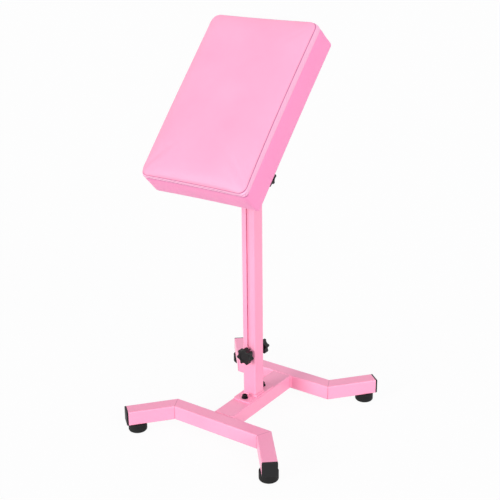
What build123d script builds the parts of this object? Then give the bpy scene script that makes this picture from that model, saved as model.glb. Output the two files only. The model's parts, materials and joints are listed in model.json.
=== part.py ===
from build123d import *
import os
from math import cos, degrees, radians, sin, sqrt

# Armrest stand: a dog-bone base of square steel tube on four rubber feet, a slotted column, a sliding
# post clamped by two star knobs, and a padded rest that tilts on a pivot and is held by a slotted quadrant.
# Millimetres and degrees. +Z is up, the origin is on the floor under the column, the rest's padded face
# looks up and towards -Y, and the tilt axis runs along X.

# Fits and cutting
running_fit = 0.05
loose_fit = 0.3
slide_gap = 0.25
turn_gap = 0.2
plug_gap = 0.15
soft_gap = 0.3
overrun = 12

# Base frame
leg_side = 40
leg_wall = 1.5
cross_length = 286
cross_offset = 160
leg_length = 133
bend_angle = 50
beam_width = 60
beam_wall = 2
tube_corner_ratio_share = 2

# End caps of the legs
cap_flange = 5
cap_edge_round = 1.5
cap_plug_length = 18
cap_plug_wall = 2
cap_rib_height = 0.7
cap_rib_width = 2
cap_rib_count = 3

# Feet
foot_radius = 25
foot_height = 25
foot_edge_round = 5
foot_top_chamfer = 1
foot_inset = 26
foot_web = 9
foot_recess_radius = 9

# Fasteners, one set of sizes for each thread
m6_radius = 3
m6_head_radius = 5.5
m6_head_height = 3.5
m6_washer_radius = 8
m6_nut_flats = 10
m6_nut_height = 5
m8_radius = 4
m8_head_radius = 7
m8_head_height = 8
m8_nut_flats = 13
m8_nut_height = 6.5
m8_washer_radius = 9
m8_hex_height = 5.3
m10_radius = 5
m10_flats = 17
m10_head_height = 6.4
m10_nut_height = 10
m10_washer_radius = 10
washer_thickness = 1.6
socket_flats_share = 0.45
socket_depth_share = 0.5
head_chamfer_share = 0.16
hex_round_share = 0.03

# Plate under the column
plate_width = 54
plate_length = 116
plate_thickness = 4
plate_corner = 6
plate_bolt_offset = 42
bolt_tail = 2

# Column and its slots
column_side = 40
column_wall = 2
column_length = 595
slot_width = 10.5
slot_end_margin = 17
stud_height = 192

# Sleeve in the top of the column
sleeve_depth = 40
sleeve_lip = 4
sleeve_chamfer = 1

# Sliding post
post_side = 32
post_wall = 2
post_below_stud = 30
post_top_drop = 6
guide_floor = 4
guide_above_stud = 12
spacer_wall = 2

# Star knobs
knob_radius = 23
knob_height = 24
knob_hub_radius = 11
knob_hub_height = 7
knob_lobes = 7
scallop_radius = 9
scallop_bite = 4.8
lobe_round = 2.2
knob_top_round = 2.4
knob_back_round = 1
knob_dish_radius = 12
knob_dish_depth = 1.2
insert_radius = 6
insert_length = 16
thread_depth = 14
clamp_washer_radius = 12

# Tilt pivot and the quadrant that locks it
straight_down_angle = -90
rest_tilt_angle = 47
top_tilt_angle = 75
pivot_tube_radius = 14
pivot_bush = 2
cheek_inner = 23
cheek_thickness = 4
cheek_nose_radius = 18
cheek_root_width = 70
cheek_root_depth = 8
lock_drop = 121
lock_gap = 8
lock_boss_radius = 11
quadrant_edge = 6.5
quadrant_spoke = 14
quadrant_hub_radius = 32
quadrant_window_round = 6
friction_disc_radius = 16
friction_disc_thickness = 8

# Mounting plate under the rest
mount_width = 110
mount_length = 150
mount_thickness = 4
mount_corner = 8
mount_bolt_x = 40
mount_bolt_y = 60
tee_flange_radius = 9.5
tee_flange = 1.5
tee_barrel_radius = 4.5
tee_barrel_length = 9

# Padded rest
rest_width = 308
rest_length = 465
rest_depth = 90
rest_drop = 41
rest_corner = 14
corner_growth_share = 0.3
rest_crown = 9
crown_run_share = 0.26
crown_steps = 7
side_draw = 1
edge_tuck = 4
cover_thickness = 1.5
seam_inset = 2
seam_groove = 1.8
seam_groove_width = 3.5
second_seam = 22
band_steps = 3
board_thickness = 12
hem_width = 32
cloth_thickness = 1
cloth_inset = 12
cloth_cut_gap = 2

# Levels worked out from the sizes above
bar_middle = foot_height + leg_side / 2
frame_top = foot_height + leg_side
plate_top = frame_top + plate_thickness
column_top = plate_top + column_length
column_inside = column_side - 2 * column_wall
slide_travel = column_top - sleeve_depth - slot_end_margin - stud_height
post_bottom = stud_height - post_below_stud
lock_height = column_top + sleeve_lip + lock_gap + lock_boss_radius
pivot_height = lock_height + lock_drop
post_top = pivot_height - post_top_drop
leg_corner_x = cross_length / 2
knob_seat = column_side / 2 + slide_gap + washer_thickness
cheek_outer = cheek_inner + cheek_thickness
lock_seat = cheek_outer + slide_gap + friction_disc_thickness + washer_thickness
rest_top = rest_drop + rest_depth
board_top = rest_drop + board_thickness
board_inset = edge_tuck + cover_thickness + soft_gap
cutter = 4 * leg_side

BASE = (Align.CENTER, Align.CENTER, Align.MIN)
TOP = (Align.CENTER, Align.CENTER, Align.MAX)
ALONG_X = Rot(0, 90, 0)
ALONG_Y = Rot(-90, 0, 0)
UPRIGHT = Rot(0, -90, 0)

parts = {}


# Shared shapes

def rod(radius, length):
    """A round bar that stands on the origin."""
    return Cylinder(radius, length, align=BASE)


def ring(outer, bore, height):
    """A washer, bush or spacer that stands on the origin."""
    return rod(outer, height) - Pos(0, 0, -overrun) * rod(bore, height + 2 * overrun)


def tube_section(width, height, wall):
    """The section of a rolled tube, with corners that follow its wall."""
    outer = RectangleRounded(width, height, wall * tube_corner_ratio_share)
    inner_corner = wall * (tube_corner_ratio_share - 1)
    return outer - RectangleRounded(width - 2 * wall, height - 2 * wall, inner_corner)


def tube(width, height, wall, length):
    """A rectangular tube that starts at the origin and runs along +X."""
    return extrude(Plane.YZ * tube_section(width, height, wall), length)


def hexagon(flats, height):
    return extrude(RegularPolygon(flats / 2, 6, major_radius=False), height)


def hex_nut(flats, height, thread_radius):
    nut = hexagon(flats, height) & rod(flats / sqrt(3) - hex_round_share * flats, height)
    return nut - Pos(0, 0, -overrun) * rod(thread_radius + running_fit, height + 2 * overrun)


def socket_screw(thread_radius, length, head_radius, head_height):
    """A screw with its head on the origin and its shank down -Z."""
    head = rod(head_radius, head_height)
    head = chamfer(head.edges().sort_by(Axis.Z)[-1], head_chamfer_share * head_radius)
    depth = head_height * socket_depth_share
    head -= Pos(0, 0, head_height - depth) * hexagon(2 * head_radius * socket_flats_share, depth + overrun)
    return head + Cylinder(thread_radius, length, align=TOP)


def hex_bolt(thread_radius, length, flats, head_height):
    """A hexagon bolt with its head on the origin and its shank down -Z."""
    head = hexagon(flats, head_height) & rod(flats / sqrt(3) - hex_round_share * flats, head_height)
    return head + Cylinder(thread_radius, length, align=TOP)


def group(solids):
    """Equal pieces that share one file, each still a solid of its own."""
    return Compound(children=[s.solid() if hasattr(s, "solid") else s for s in solids])


# Base frame

def mitre(x, angle):
    """A block that starts at a mitre plane through (x, 0) and fills the side that the angle points to."""
    return Pos(x, 0, 0) * Rot(0, 0, angle) * Pos(cutter / 2, 0, 0) * Box(cutter, cutter, cutter)


def cross_tube():
    """The middle of a crossbar, its ends mitred to meet two legs that bend towards -Y."""
    half = leg_corner_x + leg_side
    bar = Pos(-half, 0, 0) * tube(leg_side, leg_side, leg_wall, 2 * half)
    bar -= mitre(leg_corner_x, -bend_angle / 2)
    bar -= mitre(-leg_corner_x, 180 + bend_angle / 2)
    return Pos(0, -cross_offset, bar_middle) * bar


def on_leg(shape, distance):
    """Places a shape on the front right leg, at a distance from the bend, with +X along the leg."""
    return Pos(leg_corner_x, -cross_offset, bar_middle) * Rot(0, 0, -bend_angle) * Pos(distance, 0, 0) * shape


def leg():
    """The front right leg: mitred at the bend, with a hole for its foot's screw."""
    bar = tube(leg_side, leg_side, leg_wall, leg_length + leg_side)
    bar = on_leg(bar, -leg_side)
    bar -= Pos(0, -cross_offset, bar_middle) * mitre(leg_corner_x, 180 - bend_angle / 2)
    hole = Pos(0, 0, -leg_side / 2) * Cylinder(m6_radius + loose_fit, 4 * leg_wall)
    return bar - on_leg(hole, leg_length - foot_inset)


def end_cap():
    """A moulded cap: a rounded flange over the tube's end and a ribbed hollow plug inside it."""
    corner = leg_wall * tube_corner_ratio_share
    flange = extrude(Plane.YZ * RectangleRounded(leg_side, leg_side, corner), cap_flange)
    flange = fillet(flange.faces().sort_by(Axis.X)[-1].edges(), cap_edge_round)
    rib_side = leg_side - 2 * leg_wall - 2 * plug_gap
    core_side = rib_side - 2 * cap_rib_height
    core = extrude(Plane.YZ * RectangleRounded(core_side, core_side, leg_wall), -cap_plug_length)
    pitch = cap_plug_length / cap_rib_count
    for i in range(cap_rib_count):
        rib = extrude(Plane.YZ * RectangleRounded(rib_side, rib_side, leg_wall), -cap_rib_width)
        core += Pos(-pitch * i - pitch / 2, 0, 0) * rib
    bore_side = core_side - 2 * cap_plug_wall
    core -= extrude(Plane.YZ * RectangleRounded(bore_side, bore_side, leg_wall), -cap_plug_length - overrun)
    return on_leg(flange + core, leg_length)


def at_foot(shape):
    return on_leg(Pos(0, 0, -bar_middle) * shape, leg_length - foot_inset)


def foot():
    """A rubber foot with a rounded lower edge and a recess that hides its screw."""
    body = rod(foot_radius, foot_height)
    body = fillet(body.edges().sort_by(Axis.Z)[0], foot_edge_round)
    body = chamfer(body.edges().sort_by(Axis.Z)[-1], foot_top_chamfer)
    body -= Pos(0, 0, -overrun) * rod(foot_recess_radius, foot_height - foot_web + overrun)
    return body - rod(m6_radius + loose_fit, foot_height + overrun)


def foot_washer():
    level = foot_height - foot_web - washer_thickness
    return Pos(0, 0, level) * ring(m6_washer_radius, m6_radius + loose_fit, washer_thickness)


def foot_screw():
    grip = washer_thickness + foot_web + leg_wall + m6_nut_height + bolt_tail
    screw = socket_screw(m6_radius, grip, m6_head_radius, m6_head_height)
    return Pos(0, 0, foot_height - foot_web - washer_thickness) * Rot(180, 0, 0) * screw


def foot_nut():
    return Pos(0, 0, foot_height + leg_wall) * hex_nut(m6_nut_flats, m6_nut_height, m6_radius)


def at_corners(front_right):
    """Copies a front right piece to all four corners of the base."""
    front_left = mirror(front_right, Plane.YZ)
    return {"front_right": front_right, "front_left": front_left,
            "rear_left": Rot(0, 0, 180) * front_right, "rear_right": Rot(0, 0, 180) * front_left}


parts["front_cross_tube"] = cross_tube()
parts["rear_cross_tube"] = Rot(0, 0, 180) * cross_tube()
for place, shape in at_corners(leg()).items():
    parts[place + "_leg"] = shape
for place, shape in at_corners(end_cap()).items():
    parts[place + "_end_cap"] = shape
for place, shape in at_corners(at_foot(foot())).items():
    parts[place + "_foot"] = shape
parts["foot_washers"] = group(at_corners(at_foot(foot_washer())).values())
parts["foot_screws"] = group(at_corners(at_foot(foot_screw())).values())
parts["foot_nuts"] = group(at_corners(at_foot(foot_nut())).values())

beam_length = 2 * cross_offset - leg_side
beam = Rot(0, 0, 90) * tube(beam_width, leg_side, beam_wall, beam_length)
beam = Pos(0, -beam_length / 2, bar_middle) * beam
bolt_places = [(0, -plate_bolt_offset), (0, plate_bolt_offset)]
for x, y in bolt_places:
    beam -= Pos(x, y, frame_top) * Cylinder(m8_radius + loose_fit, 4 * beam_wall)
parts["centre_beam"] = beam

# Plate under the column and its two bolts
plate = extrude(RectangleRounded(plate_width, plate_length, plate_corner), plate_thickness)
for x, y in bolt_places:
    plate -= Pos(x, y, -overrun) * rod(m8_radius + loose_fit, plate_thickness + 2 * overrun)
parts["column_foot_plate"] = Pos(0, 0, frame_top) * plate

plate_bolt_length = washer_thickness + plate_thickness + beam_wall + m8_nut_height + bolt_tail
plate_bolt = socket_screw(m8_radius, plate_bolt_length, m8_head_radius, m8_head_height)
plate_washer = ring(m8_washer_radius, m8_radius + loose_fit, washer_thickness)
plate_nut = hex_nut(m8_nut_flats, m8_nut_height, m8_radius)
nut_level = frame_top - beam_wall - m8_nut_height
parts["foot_plate_bolts"] = group(
    [Pos(x, y, plate_top + washer_thickness) * plate_bolt for x, y in bolt_places])
parts["foot_plate_washers"] = group([Pos(x, y, plate_top) * plate_washer for x, y in bolt_places])
parts["foot_plate_nuts"] = group([Pos(x, y, nut_level) * plate_nut for x, y in bolt_places])

# Column: a square tube with a long slot through its front and rear walls
column = Pos(0, 0, plate_top) * UPRIGHT * tube(column_side, column_side, column_wall, column_length)
slot = SlotCenterToCenter(slide_travel, slot_width, rotation=90)
slot_cut = extrude(Plane.XZ * slot, column_side, both=True)
parts["column_tube"] = column - Pos(0, 0, stud_height + slide_travel / 2) * slot_cut

# Nylon sleeve in the column's mouth, which the post slides in
sleeve_corner = column_wall * (tube_corner_ratio_share - 1)
sleeve_side = column_inside - 2 * plug_gap
sleeve = extrude(RectangleRounded(sleeve_side, sleeve_side, sleeve_corner), -sleeve_depth)
lip = extrude(RectangleRounded(column_side, column_side, column_wall * tube_corner_ratio_share), sleeve_lip)
sleeve += chamfer(lip.faces().sort_by(Axis.Z)[-1].edges(), sleeve_chamfer)
bore_side = post_side + 2 * slide_gap
bore_corner = post_wall * tube_corner_ratio_share
bore = extrude(RectangleRounded(bore_side, bore_side, bore_corner), sleeve_depth + sleeve_lip + 2 * overrun)
sleeve -= Pos(0, 0, -sleeve_depth - overrun) * bore
parts["column_top_sleeve"] = Pos(0, 0, column_top) * sleeve

# Sliding post, drilled for the clamp stud and the lock bolt and notched to cradle the pivot tube
post = Pos(0, 0, post_bottom) * UPRIGHT * tube(post_side, post_side, post_wall, post_top - post_bottom)
post -= Pos(0, 0, stud_height) * ALONG_Y * Cylinder(m8_radius + loose_fit, 2 * post_side)
post -= Pos(0, 0, lock_height) * ALONG_X * Cylinder(m8_radius + loose_fit, 2 * post_side)
post -= Pos(0, 0, pivot_height) * ALONG_X * Cylinder(pivot_tube_radius, 2 * post_side)
parts["inner_post"] = post

# Nylon shoe on the foot of the post, which fills the column and carries the clamp stud
shoe_side = column_inside - 2 * slide_gap
shoe_height = guide_floor + post_below_stud + guide_above_stud
shoe = extrude(RectangleRounded(shoe_side, shoe_side, sleeve_corner), shoe_height)
socket_side = post_side + 2 * plug_gap
socket = extrude(RectangleRounded(socket_side, socket_side, bore_corner), shoe_height + overrun)
shoe -= Pos(0, 0, guide_floor) * socket
shoe = Pos(0, 0, post_bottom - guide_floor) * shoe
shoe -= Pos(0, 0, stud_height) * ALONG_Y * Cylinder(m8_radius + loose_fit, 2 * column_side)
parts["post_foot_shoe"] = shoe

# Clamp stud through the post, its inner spacer and the washers that bear on the column
spacer_bore = m8_radius + loose_fit
spacer_length = post_side - 2 * post_wall
spacer = Pos(0, 0, -spacer_length / 2) * ring(spacer_bore + spacer_wall, spacer_bore, spacer_length)
parts["stud_spacer"] = Pos(0, 0, stud_height) * ALONG_Y * spacer
stud_reach = knob_seat + turn_gap + thread_depth
parts["height_clamp_stud"] = Pos(0, 0, stud_height) * ALONG_Y * Cylinder(m8_radius, 2 * stud_reach)
clamp_washer = Pos(0, 0, knob_seat - washer_thickness) * ring(clamp_washer_radius, spacer_bore,
                                                             washer_thickness)
facing_front = Pos(0, 0, stud_height) * Rot(90, 0, 0)
facing_rear = Pos(0, 0, stud_height) * Rot(-90, 0, 0)
parts["clamp_washers"] = group([facing_front * clamp_washer, facing_rear * clamp_washer])


# Star knobs

def knob():
    """A seven-lobed knob on its hub, with a dished face and a bore for its brass insert."""
    outline = Circle(knob_radius)
    scallop_centre = knob_radius + scallop_radius - scallop_bite
    for place in PolarLocations(scallop_centre, knob_lobes, start_angle=90 + 180 / knob_lobes):
        outline -= place * Circle(scallop_radius)
    outline = fillet(outline.vertices(), lobe_round)
    head = extrude(outline, knob_height - knob_hub_height)
    head = fillet(head.faces().sort_by(Axis.Z)[-1].edges(), knob_top_round)
    head = fillet(head.faces().sort_by(Axis.Z)[0].edges(), knob_back_round)
    body = rod(knob_hub_radius, knob_hub_height) + Pos(0, 0, knob_hub_height) * head
    body -= Pos(0, 0, knob_height - knob_dish_depth) * rod(knob_dish_radius, overrun)
    return body - rod(insert_radius + running_fit, insert_length)


def knob_insert():
    return ring(insert_radius, m8_radius + running_fit, insert_length)


knob_places = {
    "front_knob": facing_front * Pos(0, 0, knob_seat + turn_gap),
    "rear_knob": facing_rear * Pos(0, 0, knob_seat + turn_gap),
    "tilt_knob": Pos(0, 0, lock_height) * ALONG_X * Pos(0, 0, lock_seat + turn_gap),
}
for name, place in knob_places.items():
    parts[name] = place * knob()
    parts[name + "_insert"] = place * knob_insert()

# Pivot tube across the top of the post
pivot_tube_half = cheek_inner - pivot_bush - slide_gap
pivot_tube = ring(pivot_tube_radius, m10_radius + running_fit, 2 * pivot_tube_half)
across_pivot = Pos(0, 0, pivot_height) * ALONG_X
parts["pivot_tube"] = across_pivot * Pos(0, 0, -pivot_tube_half) * pivot_tube

# Tilt lock: a bolt across the post, its boss, and the nylon disc and washer that press on the quadrant
across_lock = Pos(0, 0, lock_height) * ALONG_X
boss_length = cheek_inner - slide_gap - post_side / 2
parts["lock_boss"] = across_lock * Pos(0, 0, post_side / 2) * ring(lock_boss_radius, spacer_bore, boss_length)
parts["lock_spacer"] = across_lock * spacer
lock_bolt_length = post_side / 2 + lock_seat + turn_gap + thread_depth
lock_bolt = Rot(180, 0, 0) * hex_bolt(m8_radius, lock_bolt_length, m8_nut_flats, m8_hex_height)
parts["lock_bolt"] = across_lock * Pos(0, 0, -post_side / 2) * lock_bolt
disc = ring(friction_disc_radius, spacer_bore, friction_disc_thickness)
parts["friction_disc"] = across_lock * Pos(0, 0, cheek_outer + slide_gap) * disc
lock_washer = ring(clamp_washer_radius, spacer_bore, washer_thickness)
parts["lock_washer"] = across_lock * Pos(0, 0, lock_seat - washer_thickness) * lock_washer


# Tilting head, built level about the pivot and then turned to its tilt

def tilted(shape):
    return Pos(0, 0, pivot_height) * Rot(rest_tilt_angle, 0, 0) * shape


def wedge(radius, first, last):
    """A triangle from the pivot that covers the angles from first to last, counted from straight down."""
    far = 2 * radius
    corners = [(0, 0)] + [(-far * sin(radians(a)), -far * cos(radians(a))) for a in (first, last)]
    return make_face(Polyline(*corners, close=True))


def cheek_outline():
    """The ear that hangs from the mounting plate and carries the pivot bolt."""
    root = Pos(0, rest_drop - mount_thickness - cheek_root_depth / 2) * Rectangle(cheek_root_width,
                                                                                cheek_root_depth)
    return make_hull(Circle(cheek_nose_radius).edges() + root.edges())


def cheek(outline, start):
    """A plate with the pivot's bore, from its outline across the tilt axis."""
    blank = outline - Circle(m10_radius + running_fit)
    return tilted(Pos(start, 0, 0) * extrude(Plane.YZ * blank, cheek_thickness))


def quadrant_outline():
    """The right ear, grown into a quadrant with an arc slot and a window between its two spokes."""
    slot_half = m8_radius + loose_fit
    outer = lock_drop + slot_half + quadrant_edge
    spill = degrees((slot_half + quadrant_edge) / lock_drop)
    sector = Circle(outer) & wedge(outer, -spill, top_tilt_angle + spill)
    window_outer = lock_drop - slot_half - quadrant_edge
    spoke = degrees(quadrant_spoke / window_outer)
    window = (Circle(window_outer) - Circle(quadrant_hub_radius)) & wedge(outer, spoke - spill,
                                                                          top_tilt_angle + spill - spoke)
    window = fillet(window.vertices(), quadrant_window_round)
    arc = CenterArc((0, 0), lock_drop, straight_down_angle - top_tilt_angle, top_tilt_angle)
    return cheek_outline() + sector - window - SlotArc(arc, 2 * slot_half)


parts["left_cheek"] = cheek(cheek_outline(), -cheek_outer)
parts["angle_quadrant"] = cheek(quadrant_outline(), cheek_inner)

mount_plate = extrude(RectangleRounded(mount_width, mount_length, mount_corner), -mount_thickness)
mount_places = [(x, y) for x in (-mount_bolt_x, mount_bolt_x) for y in (-mount_bolt_y, mount_bolt_y)]
for x, y in mount_places:
    mount_plate -= Pos(x, y, 0) * Cylinder(m6_radius + loose_fit, 4 * mount_thickness)
parts["rest_mount_plate"] = tilted(Pos(0, 0, rest_drop) * mount_plate)

# Pivot bolt with its bushes, washers and lock nut
pivot_grip = cheek_outer + washer_thickness
pivot_bolt = hex_bolt(m10_radius, 2 * pivot_grip + m10_nut_height + bolt_tail, m10_flats, m10_head_height)
pivot_washer = ring(m10_washer_radius, m10_radius + running_fit, washer_thickness)
bush = ring(pivot_tube_radius, m10_radius + running_fit, pivot_bush)
lock_nut = hex_nut(m10_flats, m10_nut_height, m10_radius)
along_pivot = Rot(0, 90, 0)
parts["pivot_bolt"] = tilted(Pos(-pivot_grip, 0, 0) * Rot(0, -90, 0) * pivot_bolt)
parts["pivot_lock_nut"] = tilted(Pos(pivot_grip, 0, 0) * along_pivot * lock_nut)
parts["pivot_washers"] = group([tilted(Pos(x, 0, 0) * along_pivot * pivot_washer)
                                for x in (-pivot_grip, cheek_outer)])
parts["pivot_bushes"] = group([tilted(Pos(x, 0, 0) * along_pivot * bush)
                               for x in (-cheek_inner, cheek_inner - pivot_bush)])


# Padded rest

def rest_outline(inset):
    """The rest seen from its face: sides drawn in a little between corners that soften with the inset."""
    half_x = rest_width / 2 - inset
    half_y = rest_length / 2 - inset
    right = ThreePointArc((half_x, -half_y), (half_x - side_draw, 0), (half_x, half_y))
    back = ThreePointArc((half_x, half_y), (0, half_y - side_draw), (-half_x, half_y))
    left = ThreePointArc((-half_x, half_y), (side_draw - half_x, 0), (-half_x, -half_y))
    front = ThreePointArc((-half_x, -half_y), (0, side_draw - half_y), (half_x, -half_y))
    face = make_face(Curve() + [right, back, left, front])
    return fillet(face.vertices(), rest_corner + inset * corner_growth_share)


def rest_profile():
    """Inset and level of each section, from the back edge over both seams to the top of the crown."""
    low_seam = rest_top - second_seam
    band_start = low_seam + seam_groove_width
    band_height = second_seam - 2 * seam_groove_width
    steps = [(edge_tuck, rest_drop), (edge_tuck / 4, rest_drop + edge_tuck), (0, rest_drop + 2 * edge_tuck)]
    steps += [(0, low_seam - seam_groove_width), (seam_groove / 2, low_seam), (0, band_start)]
    for i in range(1, band_steps + 1):
        rise = i / band_steps
        steps.append((seam_inset * rise * rise, band_start + band_height * rise))
    face_inset = seam_inset + seam_groove
    steps.append((face_inset, rest_top))
    run = rest_width * crown_run_share
    for i in range(1, crown_steps + 1):
        turn = radians(90) * i / crown_steps
        steps.append((face_inset + run * (1 - cos(turn)), rest_top + rest_crown * sin(turn)))
    return steps


def rest_body(shrink, bottom):
    """The rest's closed form, taken in by shrink on every side and cut off below bottom."""
    sections = []
    for inset, level in rest_profile():
        height = level - shrink if level > board_top else level
        sections.append(Pos(0, 0, height) * rest_outline(inset + shrink))
    size = 2 * rest_length
    return loft(sections, ruled=True) & Pos(0, 0, bottom) * Box(size, size, size, align=BASE)


hem = extrude(rest_outline(edge_tuck), -cover_thickness)
window_x = rest_width - 2 * hem_width
window_y = rest_length - 2 * hem_width
window = extrude(RectangleRounded(window_x, window_y, rest_corner), -cover_thickness - overrun)
cover = rest_body(0, rest_drop) + Pos(0, 0, rest_drop) * hem - rest_body(cover_thickness, rest_drop)
cover -= Pos(0, 0, rest_drop + overrun / 2) * window
parts["rest_cover"] = tilted(cover)
parts["rest_foam"] = tilted(rest_body(cover_thickness + soft_gap, board_top))

board = extrude(rest_outline(board_inset), board_thickness)
tee_level = board_thickness - tee_flange
for x, y in mount_places:
    board -= Pos(x, y, -overrun) * rod(tee_barrel_radius + plug_gap, board_thickness + 2 * overrun)
    board -= Pos(x, y, tee_level) * rod(tee_flange_radius + plug_gap, overrun)
parts["rest_board"] = tilted(Pos(0, 0, rest_drop) * board)

tee = ring(tee_flange_radius, m6_radius + running_fit, tee_flange)
tee += Pos(0, 0, -tee_barrel_length) * ring(tee_barrel_radius, m6_radius + running_fit, tee_barrel_length)
parts["rest_tee_nuts"] = group([tilted(Pos(x, y, rest_drop + tee_level) * tee) for x, y in mount_places])
rest_screw_length = mount_thickness + board_thickness - tee_flange
rest_screw = Rot(180, 0, 0) * socket_screw(m6_radius, rest_screw_length, m6_head_radius, m6_head_height)
rest_screw_level = rest_drop - mount_thickness
parts["rest_screws"] = group([tilted(Pos(x, y, rest_screw_level) * rest_screw) for x, y in mount_places])

cloth = extrude(RectangleRounded(rest_width - 2 * cloth_inset, rest_length - 2 * cloth_inset, rest_corner),
                -cloth_thickness)
cloth_cut = RectangleRounded(mount_width + 2 * cloth_cut_gap, mount_length + 2 * cloth_cut_gap, mount_corner)
cloth -= Pos(0, 0, overrun) * extrude(cloth_cut, -cloth_thickness - 2 * overrun)
parts["rest_back_cloth"] = tilted(Pos(0, 0, rest_drop - cover_thickness) * cloth)

os.makedirs("parts", exist_ok=True)
for name, shape in parts.items():
    export_step(shape, "parts/" + name + ".step")
print(len(parts), "parts")
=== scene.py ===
import bpy
import bmesh
import json
from math import atan2, ceil, cos, hypot, pi, radians, sin, sqrt
from mathutils import Matrix, Vector, noise
from mathutils.bvhtree import BVHTree
from mathutils.interpolate import poly_3d_calc


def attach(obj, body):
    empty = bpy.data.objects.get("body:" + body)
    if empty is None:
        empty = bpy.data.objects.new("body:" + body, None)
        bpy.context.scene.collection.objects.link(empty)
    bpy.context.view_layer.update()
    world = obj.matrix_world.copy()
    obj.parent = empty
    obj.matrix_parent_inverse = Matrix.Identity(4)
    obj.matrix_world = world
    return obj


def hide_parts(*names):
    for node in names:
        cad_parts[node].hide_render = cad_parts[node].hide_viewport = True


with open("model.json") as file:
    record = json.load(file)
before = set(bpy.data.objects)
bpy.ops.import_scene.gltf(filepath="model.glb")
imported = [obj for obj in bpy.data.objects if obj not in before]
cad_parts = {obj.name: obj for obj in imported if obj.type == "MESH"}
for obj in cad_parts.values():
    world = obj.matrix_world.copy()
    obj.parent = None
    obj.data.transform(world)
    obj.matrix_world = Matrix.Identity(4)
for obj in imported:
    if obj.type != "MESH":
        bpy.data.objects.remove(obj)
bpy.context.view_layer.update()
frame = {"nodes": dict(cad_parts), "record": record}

MM = 0.001
TILT = radians(47)
PIVOT_HEIGHT = 808
STAND_TO_WORLD = Matrix.Scale(MM, 4)
REST_TO_WORLD = STAND_TO_WORLD @ Matrix.Translation((0, 0, PIVOT_HEIGHT)) @ Matrix.Rotation(TILT, 4, "X")

# Camera, as fitted to the photograph: its place in metres, then azimuth, elevation and roll in degrees
CAMERA_PLACE = (1.3844, -1.9792, 1.3897)
CAMERA_ANGLES = (35.11, 20.58, -0.635)
CAMERA_LENS = 71.61
CAMERA_SENSOR = 36
CAMERA_REACH = 200

# Floor, in metres, and sky
FLOOR_HALF = 40
FLOOR_GREY = 0.8
FLOOR_WHITE_SHARE = 0.95
SKY_TINT = (0.98, 0.97, 1.06, 1)
SKY_STRENGTH = 0.52
WHITE = (1, 1, 1, 1)

# Outline of the rest. Levels count up from the pivot, and insets count inwards from this outline.
REST_WIDTH = 308
REST_LENGTH = 465
REST_TOP = 131
REST_BACK = 41
REST_CORNER = 14
BACK_CORNER = 4
CORNER_GROWTH = 0.3
SEAM_CORNER_GROWTH = 2.2
SEAM_CORNER_FADE = 8
SIDE_DRAW = 1.6

# Padded face: its crown, the run and curve by which it rolls up from the seam, and how uneven it lies
FACE_INSET = 3.4
SEAM_INSET = 2.0
CROWN = 11
CROWN_RUN = 80
CROWN_ROLL = 2.6
CROWN_SHOULDER = 0.6
UNEVENNESS = 0.5
UNEVEN_SCALE = 0.011

# Seams: the main one sinks from here down to the lower end; the painted shade in the grooves runs to the main seam's
# reach, and the second seam's only within the lower end's reach
SEAM_DROP = 7
SEAM_DROP_START = 60
SEAM_BOTTOM = -1.0
MAIN_SEAM_REACH = 10
SECOND_SEAM = 22
END_REACH = 16
END_FADE = 10

# Below the seam, by depth: where the band's painted highlight rises and falls, where the flank's painted shade
# rises, and how far the seam's drop goes
LIT_BAND_RISE = (1.0, 2.5)
LIT_BAND_FALL = (SECOND_SEAM, SECOND_SEAM - 5)
SHADED_FLANK_RISE = (SECOND_SEAM - 3, SECOND_SEAM + 1)
DROP_FALL = (SECOND_SEAM - 2, 1)

# Gathers of the band between the two seams, with painted shade in their hollows: deeper and darker at the rest's
# lower end
GATHER_START = 1.5
GATHER_PITCH = 12.5
GATHER_SLANT = 1.2
GATHER_WANDER = 6
GATHER_EVENNESS = 0.45
GATHER_DEPTH = 0.5
GATHER_END_DEPTH = 1.5
GATHER_SHADE = 0.2
GATHER_END_SHADE = 0.9

# Rings of the cover below the padded face: inset, level over the face's edge and the share of painted shade in the
# seam grooves
UPPER_RINGS = ((2.7, 0.9, 0), (2.1, 0.3, 0.5), (2.0, -0.3, 1), (2.9, SEAM_BOTTOM, 1), (1.9, -1.5, 0.8),
               (1.3, -2.3, 0), (0.9, -4.0, 0), (0.6, -6.2, 0), (0.35, -8.6, 0), (0.15, -11.0, 0), (0.05, -13.5, 0),
               (0, -16.0, 0), (0.15, -18.4, 0), (0.9, -21.0, 0.45), (1.9, -22.0, 0.75), (0.9, -23.0, 0.45),
               (0.4, -24.5, 0.1), (0, -31.0, 0), (0, -42.0, 0), (0, -54.0, 0))
# The cover's last rings, down to the hem stapled under the board: inset and level over the rest's back
LOWER_RINGS = ((0, 24.0), (0, 12.0), (0.2, 6.0), (0.7, 2.4), (2.0, 0.4), (5.0, -1.0), (16.0, -1.5), (26.0, -1.5),
               (31.6, -1.4), (32.4, -0.8), (33.2, -0.2))
# Rings of the coarse copy that settles as cloth, and of the foam: inset and level over the face's edge
SETTLING_RINGS = ((2.0, -0.3), (0.5, -7.0), (0, -14.0), (0.8, -22.0), (0.4, -24.5), (0, -33.0), (0, -43.0),
                  (0, -53.0), (0, -63.0), (0, -73.0), (0.2, -83.0), (5.0, -91.0), (30.0, -91.0))
FOAM_RINGS = ((6.0, -1.0), (5.5, -3.0), (3.4, -6.0), (1.8, -11.0), (1.8, -19.0), (3.4, -22.0), (2.0, -26.0),
              (1.6, -50.0), (1.8, -70.0), (2.4, -77.8))
FOAM_SHRINK = 2
FOAM_CROWN_LOSS = 3

# Cloth run: the levels that are sewn or stapled down, the cloth itself, and the most that a point may move
HELD_LEVELS = (-0.3, -22.0, -24.5, -91.0)
SETTLING_CLOTH = {"quality": 6, "mass": 0.3, "tension_stiffness": 30, "compression_stiffness": 30,
                  "shear_stiffness": 15, "bending_stiffness": 1.5, "use_pressure": True,
                  "uniform_pressure_force": 4}
SETTLING_FRAMES = 20
SETTLING_LIMIT = 3.5

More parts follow.
